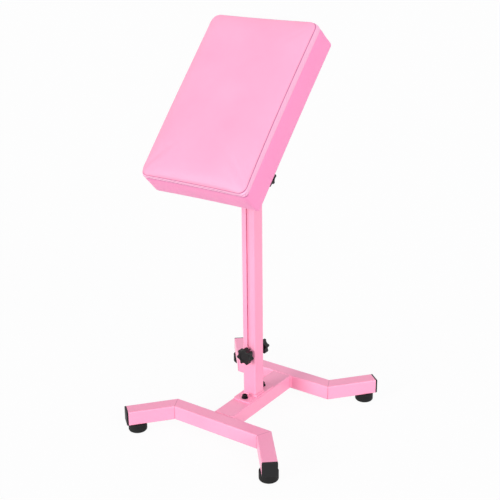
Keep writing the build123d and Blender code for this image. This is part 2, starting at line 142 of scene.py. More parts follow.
# Thread: how far it lies out and up from the seam's bottom, and how it dips and sways between stitches
THREAD_RADIUS = 0.34
THREAD_OUT = 1.25
THREAD_UP = 0.85
THREAD_DIP_OUT = 0.6
THREAD_DIP_UP = 0.4
THREAD_SWAY = 0.22
THREAD_THINNEST = 0.45
STITCH_PITCH = 4.4
STITCH_RINGS = 8
STITCH_SIDES = 6

# Dust cloth and its staples, with half sizes of the opening round the mounting plate
CLOTH_LEVEL = 39.0
CLOTH_INSET = 12
CLOTH_OPENING = (57, 77)
CLOTH_THICKNESS = 0.6
CLOTH_SAG = 0.1
CLOTH_SLACK = 0.35
STAPLE_INSET = 18
STAPLE_LEVEL = 38.4
STAPLE_SIZE = (10, 1.2, 0.6)
STAPLE_ROUNDING = 0.22
SIDE_STAPLES = 10
END_STAPLES = 6

# Frame, where its welds run
MITRE_X = 143
MITRE_Y = 160
MITRE_LINE = (0.3, 0.9)
HALF_BEND = radians(25)
TUBE_HALF = 20
BEAM_HALF = 28
BEAM_CORNER = (30.6, -139.4)
CROSSBAR_FACE = 140
UPRIGHT_BEAD_FOOT = 28
COLUMN_FOOT = 69.6
POST_FACE = 16.2
BOSS_RADIUS = 11.2
BOSS_HEIGHT = 687
PLATE_LEVEL = 36.6
EAR_HALF = 32

# Welds
BEAD_SIDES = 8
BEAD_STEP = 0.42
BEAD_END = 0.06
BEAD_RIPPLE = 0.08
BEAD_WANDER = 0.08
COLUMN_BEAD = 2.9
COLUMN_BEAD_OUT = 0.4
DROP_PLACE = Vector((20.4, -20.4, 70))
DROP_SIZE = (4.6, 4.2, 4.4)
DROP_LUMPS = 0.12
BOSS_BEAD = 1.7


def srgb(red, green, blue):
    """A colour read as 0 to 255 on screen, as the linear values that a shader takes."""
    values = [c / 255 for c in (red, green, blue)]
    return tuple(c / 12.92 if c <= 0.04045 else ((c + 0.055) / 1.055) ** 2.4 for c in values) + (1.0,)


def ramp(value, none, full):
    """Rises from 0 where the value is none to 1 where it is full, and stays within them."""
    return min(max((value - none) / (full - none), 0), 1)


# Nodes that several trees use

def feed(tree, value, socket):
    """Links an output to a socket, or sets the socket to a plain value."""
    if isinstance(value, bpy.types.NodeSocket):
        tree.links.new(value, socket)
    else:
        socket.default_value = value


def add_math(tree, operation, *values):
    node = tree.nodes.new("ShaderNodeMath")
    node.operation = operation
    for socket, value in zip(node.inputs, values):
        feed(tree, value, socket)
    return node.outputs[0]


def add_noise(tree, vector, scale, detail):
    node = tree.nodes.new("ShaderNodeTexNoise")
    node.inputs["Detail"].default_value = detail
    feed(tree, vector, node.inputs["Vector"])
    feed(tree, scale, node.inputs["Scale"])
    return node


def add_range(tree, value, start=(0, 1), end=(0, 1), smooth=False):
    """A value carried from one span to another, and held within it."""
    node = tree.nodes.new("ShaderNodeMapRange")
    if smooth:
        node.interpolation_type = "SMOOTHSTEP"
    node.inputs["From Min"].default_value, node.inputs["From Max"].default_value = start
    node.inputs["To Min"].default_value, node.inputs["To Max"].default_value = end
    feed(tree, value, node.inputs["Value"])
    return node.outputs["Result"]


def add_mix(tree, share, under, over):
    """A colour laid over another by a share."""
    node = tree.nodes.new("ShaderNodeMix")
    node.data_type = "RGBA"
    feed(tree, share, node.inputs["Factor"])
    feed(tree, under, node.inputs[6])
    feed(tree, over, node.inputs[7])
    return node.outputs[2]


def add_mapping(tree, vector, rotation=(0, 0, 0), scale=(1, 1, 1)):
    node = tree.nodes.new("ShaderNodeMapping")
    node.inputs["Rotation"].default_value = rotation
    node.inputs["Scale"].default_value = scale
    feed(tree, vector, node.inputs["Vector"])
    return node.outputs["Vector"]


# Camera, floor and light

def add_camera():
    """Stands the camera where the photograph was taken from."""
    azimuth, elevation, roll = (radians(angle) for angle in CAMERA_ANGLES)
    ahead = Vector((-sin(azimuth) * cos(elevation), cos(azimuth) * cos(elevation), -sin(elevation)))
    side = Vector((cos(azimuth), sin(azimuth), 0))
    above = side.cross(ahead)
    right = side * cos(roll) + above * sin(roll)
    up = above * cos(roll) - side * sin(roll)
    data = bpy.data.cameras.new("photo_camera")
    data.sensor_width = CAMERA_SENSOR
    data.lens = CAMERA_LENS
    data.clip_end = CAMERA_REACH
    camera = bpy.data.objects.new("photo_camera", data)
    bpy.context.scene.collection.objects.link(camera)
    turn = Matrix((right, up, -ahead)).transposed().to_4x4()
    camera.matrix_world = Matrix.Translation(CAMERA_PLACE) @ turn
    bpy.context.scene.camera = camera


def background_rays(tree):
    """One for the rays that should see a plain white surround: camera, glossy and transmission."""
    path = tree.nodes.new("ShaderNodeLightPath")
    seen = add_math(tree, "MAXIMUM", path.outputs["Is Camera Ray"], path.outputs["Is Glossy Ray"])
    return add_math(tree, "MAXIMUM", seen, path.outputs["Is Transmission Ray"])


def add_white_surround(tree, lit, white, share, output):
    """Ends a tree with plain white by that share, and with the lit shader for the rest."""
    white.inputs["Color"].default_value = WHITE
    mix = tree.nodes.new("ShaderNodeMixShader")
    tree.links.new(share, mix.inputs["Fac"])
    tree.links.new(lit.outputs[0], mix.inputs[1])
    tree.links.new(white.outputs[0], mix.inputs[2])
    tree.links.new(mix.outputs[0], output.inputs["Surface"])


def add_floor():
    """A pale floor that reads as white and still takes the stand's shadow."""
    bm = bmesh.new()
    bmesh.ops.create_grid(bm, x_segments=4, y_segments=4, size=FLOOR_HALF)
    mesh = bpy.data.meshes.new("studio_floor")
    bm.to_mesh(mesh)
    bm.free()
    floor = bpy.data.objects.new("studio_floor", mesh)
    bpy.context.scene.collection.objects.link(floor)
    material = bpy.data.materials.new("floor_paper")
    material.use_nodes = True
    tree = material.node_tree
    tree.nodes.clear()
    paper = tree.nodes.new("ShaderNodeBsdfDiffuse")
    paper.inputs["Color"].default_value = (FLOOR_GREY, FLOOR_GREY, FLOOR_GREY, 1)
    white = tree.nodes.new("ShaderNodeEmission")
    share = add_math(tree, "MULTIPLY", background_rays(tree), FLOOR_WHITE_SHARE)
    add_white_surround(tree, paper, white, share, tree.nodes.new("ShaderNodeOutputMaterial"))
    mesh.materials.append(material)


def add_world():
    """A soft sky that lights the stand from all sides and shows as white."""
    world = bpy.data.worlds.new("studio")
    bpy.context.scene.world = world
    world.use_nodes = True
    tree = world.node_tree
    tree.nodes.clear()
    sky = tree.nodes.new("ShaderNodeBackground")
    sky.inputs["Color"].default_value = SKY_TINT
    sky.inputs["Strength"].default_value = SKY_STRENGTH
    white = tree.nodes.new("ShaderNodeBackground")
    add_white_surround(tree, sky, white, background_rays(tree), tree.nodes.new("ShaderNodeOutputWorld"))


def add_lamp(name, towards, strength, softness, tint=(1, 1, 1)):
    """A distant lamp, softness degrees wide; towards points from the stand to the lamp."""
    data = bpy.data.lights.new(name, "SUN")
    data.color = tint
    data.energy = strength
    data.angle = radians(softness)
    lamp = bpy.data.objects.new(name, data)
    lamp.matrix_world = Vector(towards).to_track_quat("Z", "Y").to_matrix().to_4x4()
    bpy.context.scene.collection.objects.link(lamp)


# Shared surface effects

def new_group(name, inputs, outputs):
    """A node group with named sockets, and the nodes in it that its inputs and outputs meet."""
    group = bpy.data.node_groups.new(name, "ShaderNodeTree")
    for label, kind, value in inputs:
        socket = group.interface.new_socket(label, in_out="INPUT", socket_type=kind)
        socket.default_value = value
    for label, kind in outputs:
        group.interface.new_socket(label, in_out="OUTPUT", socket_type=kind)
    return group, group.nodes.new("NodeGroupInput").outputs, group.nodes.new("NodeGroupOutput").inputs


def tone_group():
    """Soft drift of a colour between two tones, with fine specks on top."""
    group, given, result = new_group(
        "tone_drift",
        [("Vector", "NodeSocketVector", (0, 0, 0)), ("Light", "NodeSocketColor", (1, 1, 1, 1)),
         ("Dark", "NodeSocketColor", (0, 0, 0, 1)), ("Scale", "NodeSocketFloat", 6.0),
         ("Specks", "NodeSocketFloat", 0.1)],
        [("Color", "NodeSocketColor"), ("Mask", "NodeSocketFloat")])
    drift = add_noise(group, given["Vector"], given["Scale"], detail=3)
    speck_scale = add_math(group, "MULTIPLY", given["Scale"], 60.0)
    specks = add_noise(group, given["Vector"], speck_scale, detail=2)
    centred = add_math(group, "SUBTRACT", specks.outputs["Fac"], 0.5)
    total = add_math(group, "ADD", drift.outputs["Fac"], add_math(group, "MULTIPLY", centred, given["Specks"]))
    mask = add_range(group, total, start=(0.3, 0.7))
    group.links.new(add_mix(group, mask, given["Dark"], given["Light"]), result["Color"])
    group.links.new(mask, result["Mask"])
    return group


def hide_group():
    """Leather-like grain: warped cells with creases between them and fine pores, as a height."""
    group, given, result = new_group(
        "hide_grain",
        [("Vector", "NodeSocketVector", (0, 0, 0)), ("Cells", "NodeSocketFloat", 700.0),
         ("Stretch", "NodeSocketFloat", 0.0015)],
        [("Height", "NodeSocketFloat"), ("Creases", "NodeSocketFloat")])
    warp = add_noise(group, given["Vector"], scale=260, detail=2)
    shift = group.nodes.new("ShaderNodeVectorMath")
    shift.operation = "SCALE"
    group.links.new(warp.outputs["Color"], shift.inputs[0])
    group.links.new(given["Stretch"], shift.inputs["Scale"])
    moved = group.nodes.new("ShaderNodeVectorMath")
    moved.operation = "ADD"
    group.links.new(given["Vector"], moved.inputs[0])
    group.links.new(shift.outputs[0], moved.inputs[1])
    cells = group.nodes.new("ShaderNodeTexVoronoi")
    cells.feature = "DISTANCE_TO_EDGE"
    group.links.new(moved.outputs[0], cells.inputs["Vector"])
    group.links.new(given["Cells"], cells.inputs["Scale"])
    creases = add_range(group, cells.outputs["Distance"], start=(0, 0.22), smooth=True)
    pores = add_noise(group, given["Vector"], scale=2600, detail=2)
    shallow = add_math(group, "MULTIPLY", pores.outputs["Fac"], 0.25)
    group.links.new(add_math(group, "ADD", creases, shallow), result["Height"])
    group.links.new(creases, result["Creases"])
    return group


def peel_group():
    """The faint orange peel of a sprayed or moulded skin, as a height."""
    group, given, result = new_group(
        "orange_peel",
        [("Vector", "NodeSocketVector", (0, 0, 0)), ("Scale", "NodeSocketFloat", 500.0),
         ("Fine", "NodeSocketFloat", 0.3)],
        [("Height", "NodeSocketFloat")])
    coarse = add_noise(group, given["Vector"], given["Scale"], detail=1)
    fine = add_noise(group, given["Vector"], add_math(group, "MULTIPLY", given["Scale"], 4.0), detail=2)
    part = add_math(group, "MULTIPLY", fine.outputs["Fac"], given["Fine"])
    group.links.new(add_math(group, "ADD", coarse.outputs["Fac"], part), result["Height"])
    return group


GROUPS = {"tone_drift": tone_group(), "hide_grain": hide_group(), "orange_peel": peel_group()}


# Finishes

class Finish:
    """One material: a Principled shader with the tree helpers that every finish uses."""

    def __init__(self, name, **sockets):
        self.material = bpy.data.materials.new(name)
        self.material.use_nodes = True
        self.tree = self.material.node_tree
        self.shader = self.tree.nodes["Principled BSDF"]
        self.where = self.tree.nodes.new("ShaderNodeTexCoord").outputs["Object"]
        for label, value in sockets.items():
            self.shader.inputs[label.replace("_", " ")].default_value = value

    def group(self, name, **values):
        """Places a shared effect with its own values and gives its outputs."""
        node = self.tree.nodes.new("ShaderNodeGroup")
        node.node_tree = GROUPS[name]
        self.tree.links.new(self.where, node.inputs["Vector"])
        for label, value in values.items():
            node.inputs[label].default_value = value
        return node.outputs

    def carried(self, name):
        """A value that the mesh carries at each of its points."""
        node = self.tree.nodes.new("ShaderNodeAttribute")
        node.attribute_name = name
        return node.outputs["Fac"]

    def colour(self, value):
        self.tree.links.new(value, self.shader.inputs["Base Color"])

    def tones(self, light, dark, scale, specks):
        """Drives the base colour between two tones and gives the mask of the drift."""
        drift = self.group("tone_drift", Light=light, Dark=dark, Scale=scale, Specks=specks)
        self.colour(drift["Color"])
        return drift["Mask"]

    def roughness(self, mask, low, high):
        """Drives the roughness from low to high by a mask."""
        self.tree.links.new(add_range(self.tree, mask, end=(low, high)), self.shader.inputs["Roughness"])

    def bump(self, height, distance, strength):
        """Bumps the surface by a height; the distance is in metres."""
        node = self.tree.nodes.new("ShaderNodeBump")
        node.inputs["Distance"].default_value = distance
        node.inputs["Strength"].default_value = strength
        self.tree.links.new(height, node.inputs["Height"])
        self.tree.links.new(node.outputs["Normal"], self.shader.inputs["Normal"])


def mitre_mask(tree, where):
    """One on the line where a leg meets its crossbar, which the coat fills but doesn't hide."""
    parts = tree.nodes.new("ShaderNodeSeparateXYZ")
    tree.links.new(where, parts.inputs["Vector"])
    across_x = add_math(tree, "SUBTRACT", add_math(tree, "ABSOLUTE", parts.outputs["X"]), MITRE_X * MM)
    across_y = add_math(tree, "SUBTRACT", add_math(tree, "ABSOLUTE", parts.outputs["Y"]), MITRE_Y * MM)
    away = add_math(tree, "ADD", add_math(tree, "MULTIPLY", across_x, cos(HALF_BEND)),
                    add_math(tree, "MULTIPLY", across_y, sin(HALF_BEND)))
    line = [distance * MM for distance in MITRE_LINE]
    return add_range(tree, add_math(tree, "ABSOLUTE", away), start=line, end=(1, 0), smooth=True)


def powder_coat():
    """Baked pink powder with a faint orange peel and a line at each mitre."""
    finish = Finish("pink_powder_coat", Coat_Weight=0.2, Coat_Roughness=0.25)
    tree = finish.tree
    drift = finish.group("tone_drift", Light=srgb(255, 165, 196), Dark=srgb(254, 158, 190), Scale=5.0, Specks=0.25)
    line = add_math(tree, "MULTIPLY", mitre_mask(tree, finish.where), 0.7)
    finish.colour(add_mix(tree, line, drift["Color"], srgb(178, 84, 118)))
    finish.roughness(drift["Mask"], 0.33, 0.42)
    finish.bump(finish.group("orange_peel", Scale=620.0, Fine=0.35)["Height"], distance=0.00012, strength=0.5)
    return finish.material


def leatherette():
    """Coated cloth with a fine hide grain, a painted highlight on the band below the seam and painted shade on the
    flanks, in the seam grooves and in the gathers.
    """
    finish = Finish("pink_leatherette", Sheen_Weight=0.08, Sheen_Roughness=0.4)
    drift = finish.group("tone_drift", Light=srgb(255, 163, 194), Dark=srgb(254, 156, 188), Scale=7.0, Specks=0.15)
    colour = drift["Color"]
    # Painted highlight on the band, painted shade on the flank and in the seam grooves and gathers.
    for layer, tone, most in (("lit_band", srgb(253, 189, 219), 0.85), ("shaded_flank", srgb(254, 149, 197), 0.9),
                              ("seam_shade", srgb(158, 74, 128), 0.85)):
        share = add_math(finish.tree, "MULTIPLY", finish.carried(layer), most)
        colour = add_mix(finish.tree, share, colour, tone)
    finish.colour(colour)
    grain = finish.group("hide_grain", Cells=620.0)
    finish.roughness(grain["Creases"], 0.58, 0.42)
    finish.bump(grain["Height"], distance=0.00014, strength=0.7)
    return finish.material


def moulded_black(name, tone, rough, peel, depth):
    """Black moulded plastic or rubber, with a fine eroded skin."""
    finish = Finish(name, Specular_IOR_Level=0.3)
    lighter = tuple(c * 1.5 for c in tone[:3]) + (1.0,)
    finish.roughness(finish.tones(lighter, tone, scale=30.0, specks=0.5), *rough)
    finish.bump(finish.group("orange_peel", Scale=peel, Fine=0.8)["Height"], distance=depth, strength=0.6)
    return finish.material


def turned_metal(name, light, dark, rough, lines):
    """Plated or turned metal, with fine lines round the work and a blotchy shine."""
    finish = Finish(name, Metallic=1.0)
    finish.roughness(finish.tones(light, dark, scale=40.0, specks=0.6), *rough)
    marks = add_noise(finish.tree, add_mapping(finish.tree, finish.where, scale=(1, 1, 8)), lines, detail=2)
    finish.bump(marks.outputs["Fac"], distance=0.00004, strength=0.5)
    return finish.material


def cut_foam():
    """Cream foam with open, torn cells."""
    finish = Finish("cut_foam", Roughness=0.95)
    finish.tones(srgb(240, 232, 205), srgb(226, 214, 180), scale=25.0, specks=0.8)
    finish.bump(finish.group("orange_peel", Scale=420.0, Fine=1.0)["Height"], distance=0.0006, strength=1.0)
    return finish.material


def birch_plywood():
    """Birch plywood: grain drawn out along the board and darker plies across its edge."""
    finish = Finish("birch_plywood", Roughness=0.62)
    tree = finish.tree
    level = add_mapping(tree, finish.where, rotation=(-TILT, 0, 0))
    streaks = add_noise(tree, add_mapping(tree, level, scale=(60, 4, 60)), scale=6, detail=4).outputs["Fac"]
    wood = tree.nodes.new("ShaderNodeValToRGB")
    for stop, (place, tone) in zip(wood.color_ramp.elements,
                                   ((0.3, srgb(196, 160, 112)), (0.75, srgb(226, 198, 150)))):
        stop.position = place
        stop.color = tone
    tree.links.new(streaks, wood.inputs["Fac"])
    finish.colour(wood.outputs["Color"])
    finish.bump(streaks, distance=0.0002, strength=0.5)
    return finish.material


def dust_cloth():
    """Spun black cloth with pressed dots."""
    finish = Finish("black_dust_cloth", Sheen_Weight=0.25, Sheen_Roughness=0.5)
    mask = finish.tones(srgb(46, 46, 48), srgb(24, 24, 26), scale=60.0, specks=0.9)
    dots = finish.tree.nodes.new("ShaderNodeTexVoronoi")
    dots.inputs["Scale"].default_value = 450
    dots.inputs["Randomness"].default_value = 0.25
    finish.tree.links.new(finish.where, dots.inputs["Vector"])
    finish.roughness(mask, 0.8, 0.95)
    finish.bump(dots.outputs["Distance"], distance=0.0002, strength=0.7)
    return finish.material


def twisted_thread():
    """Pink sewing thread with its twist."""
    finish = Finish("pink_thread")
    mask = finish.tones(srgb(206, 116, 164), srgb(186, 98, 146), scale=90.0, specks=0.5)
    twist = finish.tree.nodes.new("ShaderNodeTexWave")
    twist.bands_direction = "DIAGONAL"
    twist.inputs["Scale"].default_value = 900
    finish.tree.links.new(finish.where, twist.inputs["Vector"])
    finish.roughness(mask, 0.5, 0.7)
    finish.bump(twist.outputs["Fac"], distance=0.0001, strength=0.6)
    return finish.material


FINISHES = {
    "frame_paint": powder_coat(),
    "rest_vinyl": leatherette(),
    "cap_plastic": moulded_black("black_cap_plastic", srgb(12, 12, 14), rough=(0.5, 0.62), peel=900.0, depth=0.0001),
    "knob_plastic": moulded_black("black_knob_plastic", srgb(9, 9, 11), rough=(0.42, 0.52), peel=1300.0,
                                  depth=0.00006),
    "foot_rubber": moulded_black("black_foot_rubber", srgb(9, 9, 10), rough=(0.68, 0.82), peel=700.0,
                                 depth=0.00015),
    "nylon": moulded_black("black_nylon", srgb(24, 24, 26), rough=(0.45, 0.55), peel=1000.0, depth=0.00005),
    "black_steel": turned_metal("black_oxide_steel", srgb(44, 44, 48), srgb(28, 28, 31), rough=(0.4, 0.55),
                                lines=900),
    "zinc_steel": turned_metal("bright_zinc_steel", srgb(205, 208, 212), srgb(178, 182, 188), rough=(0.22, 0.36),
                               lines=1200),
    "insert_brass": turned_metal("turned_brass", srgb(222, 188, 116), srgb(196, 158, 88), rough=(0.22, 0.35),
                                 lines=1500),
    "foam": cut_foam(),
    "plywood": birch_plywood(),
    "back_cloth": dust_cloth(),
}
THREAD = twisted_thread()


def finish_cad_nodes():
    """Gives each node of the frame the finish of its slot."""
    for entry in frame["record"]["subparts"]:
        node = frame["nodes"][entry["node"]]
        node.data.materials.clear()
        node.data.materials.append(FINISHES[entry["material_slot"]])


# Helpers for new pieces

def make_piece(name, bm, matrix, body, slot, material=None, smooth=True):
    """Puts a bmesh in its place and ends it as an object that rides on a body."""
    bmesh.ops.transform(bm, matrix=matrix, verts=bm.verts)
    mesh = bpy.data.meshes.new(name)
    bm.to_mesh(mesh)
    bm.free()
    mesh.materials.append(material or FINISHES[slot])
    if smooth:
        mesh.shade_smooth()
    piece = bpy.data.objects.new(name, mesh)
    bpy.context.scene.collection.objects.link(piece)
    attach(piece, body)
    return piece


def edges_at(verts):
    """The edges at some points, each once and always in the same order."""
    return list(dict.fromkeys(e for v in verts for e in v.link_edges))


def extruded_rim(bm, edges):
    """Extrudes an open rim once, and gives the points and edges of the new one."""
    made = bmesh.ops.extrude_edge_only(bm, edges=edges)["geom"]
    points = [g for g in made if isinstance(g, bmesh.types.BMVert)]
    fresh = set(points)
    return points, [g for g in made if isinstance(g, bmesh.types.BMEdge) and fresh.issuperset(g.verts)]


# Form of the rest

def on_rest(u, v, inset, level):
    """A point on the rest, where u and v run from -1 to 1 over its plan.

    Its corners are rounded, most so at the seam, and its sides draw in between them."""
    half_x, half_y = REST_WIDTH / 2 - inset, REST_LENGTH / 2 - inset
    rise = ramp(level, REST_BACK, REST_TOP)
    corner = (BACK_CORNER + (REST_CORNER - BACK_CORNER) * rise + CORNER_GROWTH * inset
              + SEAM_CORNER_GROWTH * min(inset, FACE_INSET) * rise ** SEAM_CORNER_FADE)
    x, y = u * half_x, v * half_y
    over_x, over_y = abs(x) - half_x + corner, abs(y) - half_y + corner
    if over_x > 0 and over_y > 0:
        pull = max(over_x, over_y) / hypot(over_x, over_y)
        x = (half_x - corner + over_x * pull) * (1 if x > 0 else -1)
        y = (half_y - corner + over_y * pull) * (1 if y > 0 else -1)
    drawn_x = x - SIDE_DRAW * (1 - (y / half_y) ** 2) * x / half_x
    drawn_y = y - SIDE_DRAW * (1 - (x / half_x) ** 2) * y / half_y
    return Vector((drawn_x, drawn_y, level))


def crown_height(x, y, inset):
    """Height of the padded face over its seam: it rolls up from each side and flattens towards the middle."""
    height = CROWN
    for place, half in ((abs(x), REST_WIDTH / 2), (abs(y), REST_LENGTH / 2)):
        share = ramp(half - place - inset, 0, CROWN_RUN)
        height *= (1 - (1 - share) ** CROWN_ROLL) ** CROWN_SHOULDER
    return height


def seam_drop(y):
    """How far the seam sinks below the face's edge towards the lower end."""
    return SEAM_DROP * ramp(y, SEAM_DROP_START, -REST_LENGTH / 2) ** 2


def face_level(x, y, shrink, crown_loss, sewn):
    """Level of the padded face at a point of its plan."""
    height = crown_height(x, y, SEAM_INSET + shrink)
    if sewn:
        height += UNEVENNESS * noise.noise(Vector((x * UNEVEN_SCALE, y * UNEVEN_SCALE, 1.3)))
    return REST_TOP + height - crown_loss - seam_drop(y) * (1 - height / CROWN)


def lower_share(point):
    """One along the rest's lower end and nothing elsewhere, where the second seam's painted shade shows and the
    gathers are deeper and darker.
    """
    return ramp(-point.y - REST_LENGTH / 2, -END_REACH, END_FADE - END_REACH)


def gathers(point, level):
    """How far the band below the seam stands out or in where the sewing gathers it, from -1 to 1."""
    below = REST_TOP - level
    if not GATHER_START < below < SECOND_SEAM:
        return 0
    along = point.x if abs(point.y) * REST_WIDTH > abs(point.x) * REST_LENGTH else point.y
    bell = sin(pi * ramp(below, GATHER_START, SECOND_SEAM))
    wander = noise.noise(Vector((along * 0.05, level * 0.03, 4.1)))
    wave = sin(2 * pi * (along + GATHER_SLANT * below + GATHER_WANDER * wander) / GATHER_PITCH)
    uneven = abs(noise.noise(Vector((along * 0.021, 7.7, point.y * 0.004))))
    return (GATHER_EVENNESS + (1 - GATHER_EVENNESS) * uneven) * bell * wave


def sew(v, layers, level, seam_shade):
    """Gathers a point of the cover and marks where light and shade are painted: painted shade in the seam grooves
    and the gathers' hollows, a painted highlight on the band and painted shade on the flank.
    """
    below = REST_TOP - level
    end = lower_share(v.co)
    fold = gathers(v.co, level)
    outwards = Vector((v.co.x / REST_WIDTH, v.co.y / REST_LENGTH, 0)).normalized()
    v.co += outwards * fold * (GATHER_DEPTH + GATHER_END_DEPTH * end)
    # Painted shade in the seam grooves, the second one only at the lower end, and in the hollows of the gathers.
    shown = 1 if below < MAIN_SEAM_REACH else end
    v[layers["seam_shade"]] = seam_shade * shown + max(-fold, 0) * (GATHER_SHADE + GATHER_END_SHADE * end)
    # Painted highlight on the band and painted shade on the flank, by depth.
    v[layers["lit_band"]] = ramp(below, *LIT_BAND_RISE) * ramp(below, *LIT_BAND_FALL)
    v[layers["shaded_flank"]] = ramp(below, *SHADED_FLANK_RISE)


def rest_shell(columns, rows, rings, shrink=0, crown_loss=0, sewn=False):
    """Closed form of the rest: a crowned grid whose border is drawn down through the rings.

    Gives the form and the points of each ring by its level. Only the sewn form is gathered and carries painted light
    and shade."""
    bm = bmesh.new()
    # Masks of painted light and shade: in the seam grooves, on the band and on the flank.
    layers = {name: bm.verts.layers.float.new(name) for name in ("seam_shade", "lit_band", "shaded_flank")}
    bmesh.ops.create_grid(bm, x_segments=columns, y_segments=rows, size=1)
    plan = {v: (v.co.x, v.co.y) for v in bm.verts}
    for v, (across, along) in plan.items():
        v.co = on_rest(across, along, FACE_INSET + shrink, REST_TOP)
        v.co.z = face_level(v.co.x, v.co.y, shrink, crown_loss, sewn)
    edges = [e for e in bm.edges if e.is_boundary]
    paths = {}
    for inset, level, seam_shade in rings:
        points, edges = extruded_rim(bm, edges)
        fresh = set(points)
        sinking = ramp(REST_TOP - level, *DROP_FALL)
        for v in points:
            above = next(e.other_vert(v) for e in v.link_edges if e.other_vert(v) not in fresh)
            plan[v] = plan[above]
            v.co = on_rest(*plan[v], inset + shrink, level)
            if sewn:
                sew(v, layers, level, seam_shade)
            v.co.z -= seam_drop(v.co.y) * sinking
        paths[level] = points
    base = bmesh.ops.holes_fill(bm, edges=edges, sides=0)["faces"]
    bmesh.ops.triangulate(bm, faces=base)
    bmesh.ops.recalc_face_normals(bm, faces=bm.faces)
    return bm, paths


def plain_rings(rings):
    """Rings of a form that isn't sewn, given by inset and level over the face's edge."""
    return [(inset, REST_TOP + level, 0) for inset, level in rings]


def cover_rings():
    """Inset, level and share of painted seam shade of each ring of the cover, from the seam to the hem."""
    return ([(inset, REST_TOP + level, seam_shade) for inset, level, seam_shade in UPPER_RINGS]
            + [(inset, REST_BACK + level, 0) for inset, level in LOWER_RINGS])


# Settling of the cover

def run_cloth(piece, held):
    """Lets a piece swell as cloth, held at some of its points, and gives where all of them end."""
    piece.vertex_groups.new(name="sewn").add(held, 1.0, "REPLACE")
    settings = piece.modifiers.new("cover_cloth", "CLOTH").settings
    for name, value in SETTLING_CLOTH.items():
        setattr(settings, name, value)
    settings.vertex_group_mass = "sewn"
    settings.effector_weights.gravity = 0
    for moment in range(1, SETTLING_FRAMES + 1):
        bpy.context.scene.frame_set(moment)
    swollen = piece.evaluated_get(bpy.context.evaluated_depsgraph_get())
    return [v.co / MM for v in swollen.data.vertices]


def settled_cover():
    """Runs a coarse copy of the cover as cloth, held at its seams and hem.

    Gives its points and faces as they were and how far each point moved."""
    bm, paths = rest_shell(40, 60, plain_rings(SETTLING_RINGS))
    bm.verts.index_update()
    before = [v.co.copy() for v in bm.verts]
    faces = [[v.index for v in f.verts] for f in bm.faces]
    held = [v.index for level in HELD_LEVELS for v in paths[REST_TOP + level]]
    bmesh.ops.transform(bm, matrix=STAND_TO_WORLD, verts=bm.verts)
    mesh = bpy.data.meshes.new("settling_cover")
    bm.to_mesh(mesh)
    bm.free()
    coarse = bpy.data.objects.new("settling_cover", mesh)
    bpy.context.scene.collection.objects.link(coarse)
    shifts = [after - start for after, start in zip(run_cloth(coarse, held), before)]
    scale = min(1, SETTLING_LIMIT / max(s.length for s in shifts))
    bpy.data.objects.remove(coarse, do_unlink=True)
    bpy.data.meshes.remove(mesh)
    bpy.context.scene.frame_set(1)
    return before, faces, [s * scale for s in shifts]


def settle(bm):
    """Moves each point of the sewn cover as the simulated copy moved there."""
    before, faces, shifts = settled_cover()
    tree = BVHTree.FromPolygons(before, faces)
    for v in bm.verts:
        place, _, face, _ = tree.find_nearest(v.co)
        weights = poly_3d_calc([before[i] for i in faces[face]], place)
        for index, weight in zip(faces[face], weights):
            v.co += shifts[index] * weight


# Stitches

def ring_path(verts):
    """Points of one ring, in order round the rest."""
    return [v.co.copy() for v in sorted(verts, key=lambda v: atan2(v.co.y / REST_LENGTH, v.co.x / REST_WIDTH))]


def spaced_points(path, count):
    """Points at even spacing along a closed path, each with the direction in which the path runs there."""
    number = len(path)
    lengths = [(path[(i + 1) % number] - path[i]).length for i in range(number)]
    step = sum(lengths) / count
    points, index, passed = [], 0, 0.0
    for k in range(count):
        while passed + lengths[index] < step * k:
            passed += lengths[index]
            index += 1
        first, second = path[index], path[(index + 1) % number]
        share = (step * k - passed) / lengths[index]
        points.append((first.lerp(second, share), (second - first).normalized()))
    return points


def stitch_line(path):
    """Thread along a closed seam: it rises for each stitch and dips into the seam between two of them."""
    total = sum((path[i] - path[i - 1]).length for i in range(len(path)))
    count = int(total / STITCH_PITCH) * STITCH_RINGS
    points = spaced_points(path, count)
    bm = bmesh.new()
    bmesh.ops.create_grid(bm, x_segments=count, y_segments=STITCH_SIDES, size=0.5)
    for v in bm.verts:
        ring = round((v.co.x + 0.5) * count)
        turn = 2 * pi * (v.co.y + 0.5)
        middle, along = points[ring % count]
        outwards = along.cross(Vector((0, 0, 1))).normalized()
        share = (ring % STITCH_RINGS) / STITCH_RINGS * 2 - 1
        rise = sqrt(max(0, 1 - share ** 4))
        size = THREAD_RADIUS * (THREAD_THINNEST + (1 - THREAD_THINNEST) * rise)
        out = THREAD_OUT - THREAD_DIP_OUT * (1 - rise) + size * cos(turn)
        up = THREAD_UP + THREAD_SWAY * share - THREAD_DIP_UP * (1 - rise) + size * sin(turn)
        v.co = middle + outwards * out + Vector((0, 0, up))
    bmesh.ops.remove_doubles(bm, verts=bm.verts, dist=0.001)
    bmesh.ops.recalc_face_normals(bm, faces=bm.faces)
    return bm


# Pieces of the rest

def add_cover():
    """The sewn leatherette cover with its stitches."""
    bm, paths = rest_shell(96, 112, cover_rings(), sewn=True)
    settle(bm)
    seam_path = ring_path(paths[REST_TOP + SEAM_BOTTOM])
    cover = make_piece("sewn_cover", bm, REST_TO_WORLD, "head", "rest_vinyl")
    detail = cover.modifiers.new("smooth_skin", "SUBSURF")
    detail.levels = detail.render_levels = 1
    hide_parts("rest_cover")
    make_piece("seam_stitches", stitch_line(seam_path), REST_TO_WORLD, "head", "rest_vinyl", material=THREAD)


def add_foam():
    """The foam block inside the cover."""
    bm, _ = rest_shell(24, 36, plain_rings(FOAM_RINGS), FOAM_SHRINK, FOAM_CROWN_LOSS)
    foam = make_piece("foam_block", bm, REST_TO_WORLD, "head", "foam")
    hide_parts("rest_foam")


